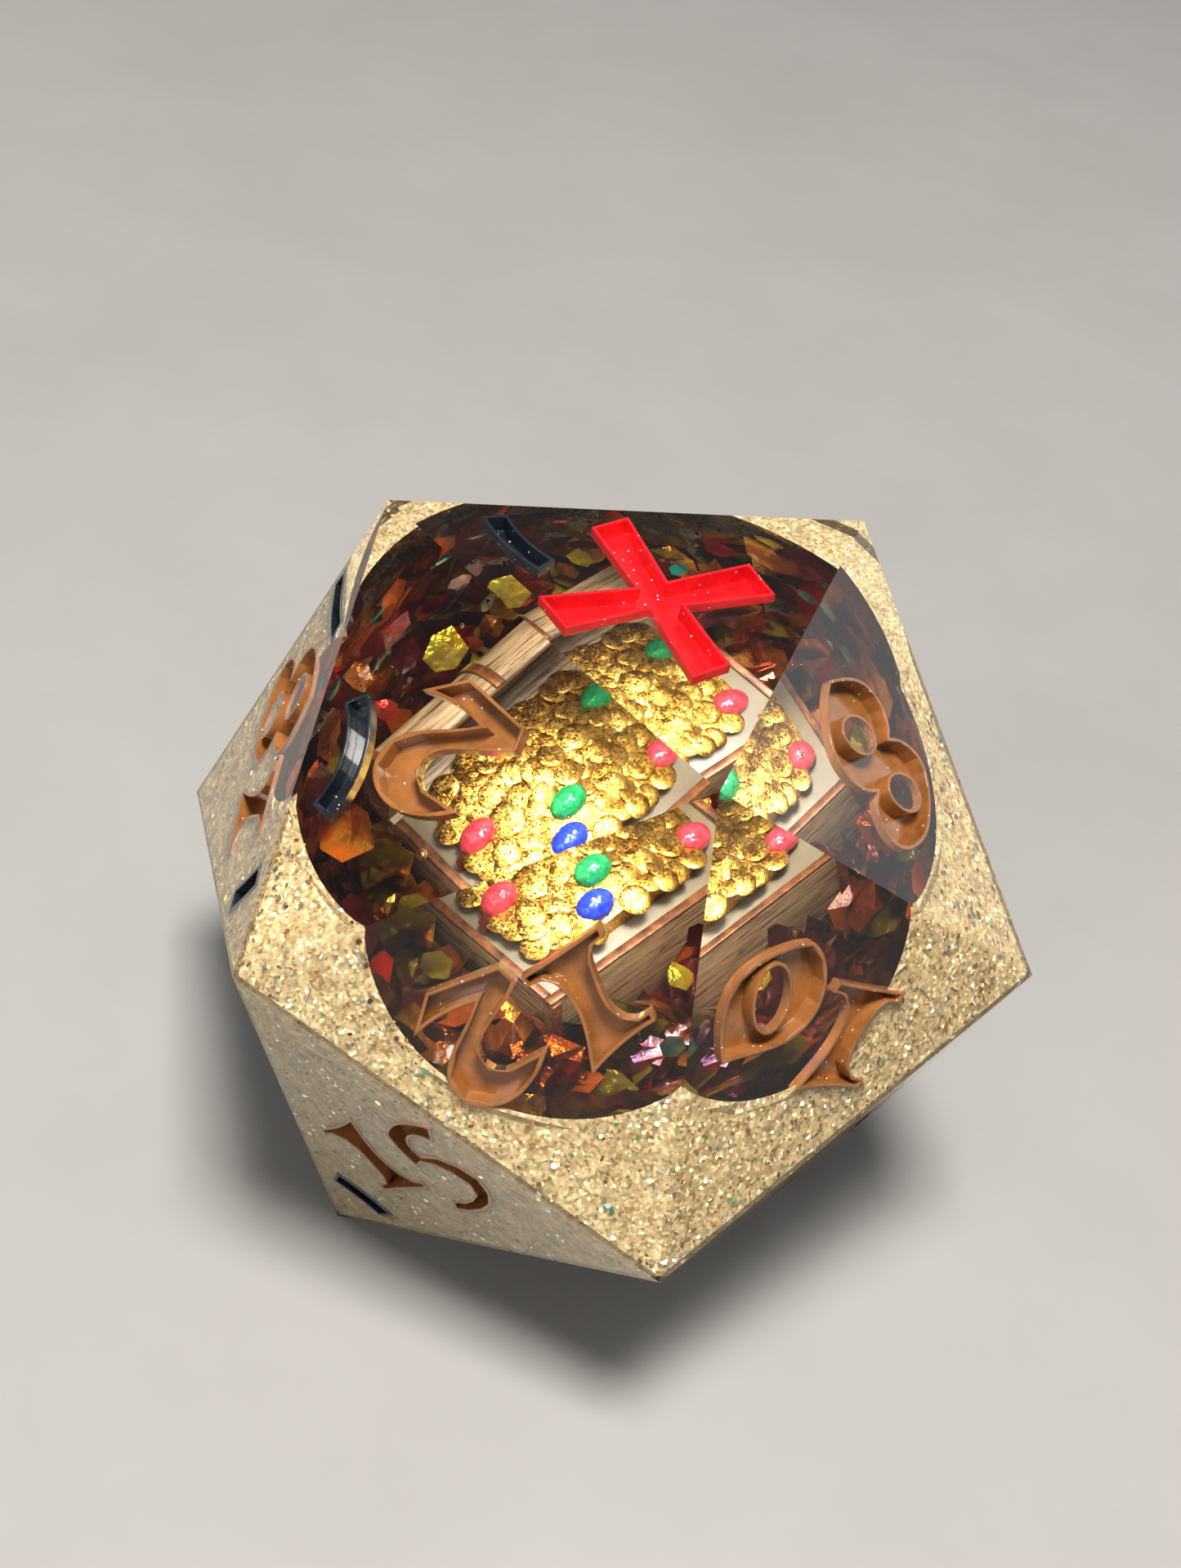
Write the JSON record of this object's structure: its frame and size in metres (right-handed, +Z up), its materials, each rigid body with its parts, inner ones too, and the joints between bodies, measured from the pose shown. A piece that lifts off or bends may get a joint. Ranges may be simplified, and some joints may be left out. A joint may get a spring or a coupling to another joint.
{
  "type": "twenty-sided die",
  "caption": "Sharp-edged twenty-sided die cast in sand-coloured and clear resin around an open treasure chest, with engraved, inked numerals and a red cross.",
  "frame": {"origin": "centre of the die", "axes": "+Z up through the centre of the face marked with the cross, opposite the face the die rests on; -Y towards the front corner of the cross face; +X to the right"},
  "size_m": [0.0354, 0.0408, 0.033],
  "materials": {
    "sand_glitter_resin": "cast resin full of fine glitter, polished",
    "clear_resin": "clear cast resin, polished",
    "numeral_paint": "caramel-brown ink, glossy",
    "cross_paint": "bright red ink, glossy",
    "trail_paint": "black ink, glossy",
    "chest_wood": "weathered wood veneer",
    "chest_trim": "copper-brown painted edging",
    "cream_bed": "cream modelling paste",
    "gold_heap": "gold-painted heap",
    "gold_coin": "tiny gold-coloured discs",
    "gems_red": "painted bead",
    "gems_green": "painted bead",
    "gems_blue": "painted bead",
    "flakes_amber": "translucent foil flakes",
    "flakes_plum": "translucent foil flakes",
    "flakes_orange": "translucent foil flakes",
    "flakes_olive": "translucent foil flakes",
    "flakes_red": "translucent foil flakes",
    "flakes_iridescent": "iridescent film flakes",
    "hex_glitter": "six-sided craft glitter"
  },
  "bodies": {
    "root": {"chest_back_board": "chest_wood", "chest_base_board": "chest_wood", "chest_corner_straps": "chest_trim", "chest_cream_bed": "cream_bed", "chest_front_board": "chest_wood", "chest_front_trim": "chest_trim", "chest_left_board": "chest_wood", "chest_left_trim": "chest_trim", "chest_lid_bands": "chest_trim", "chest_lid_left_end": "chest_wood", "chest_lid_right_end": "chest_wood", "chest_lid_shell": "chest_wood", "chest_right_board": "chest_wood", "chest_right_trim": "chest_trim", "clear_resin": "clear_resin", "coin_mound": "gold_heap", "flakes_amber": "flakes_amber", "flakes_iridescent": "flakes_iridescent", "flakes_olive": "flakes_olive", "flakes_orange": "flakes_orange", "flakes_plum": "flakes_plum", "flakes_red": "flakes_red", "gems_blue": "gems_blue", "gems_green": "gems_green", "gems_red": "gems_red", "gold_coins": "gold_coin", "hex_glitter": "hex_glitter", "numeral_1": "numeral_paint", "numeral_10": "numeral_paint", "numeral_11": "numeral_paint", "numeral_12": "numeral_paint", "numeral_13": "numeral_paint", "numeral_14": "numeral_paint", "numeral_15": "numeral_paint", "numeral_16": "numeral_paint", "numeral_17": "numeral_paint", "numeral_18": "numeral_paint", "numeral_19": "numeral_paint", "numeral_2": "numeral_paint", "numeral_3": "numeral_paint", "numeral_4": "numeral_paint", "numeral_5": "numeral_paint", "numeral_6": "numeral_paint", "numeral_7": "numeral_paint", "numeral_8": "numeral_paint", "numeral_9": "numeral_paint", "red_cross": "cross_paint", "sand_glitter_resin": "sand_glitter_resin", "trail_dashes": "trail_paint"}
  },
  "joints": []
}
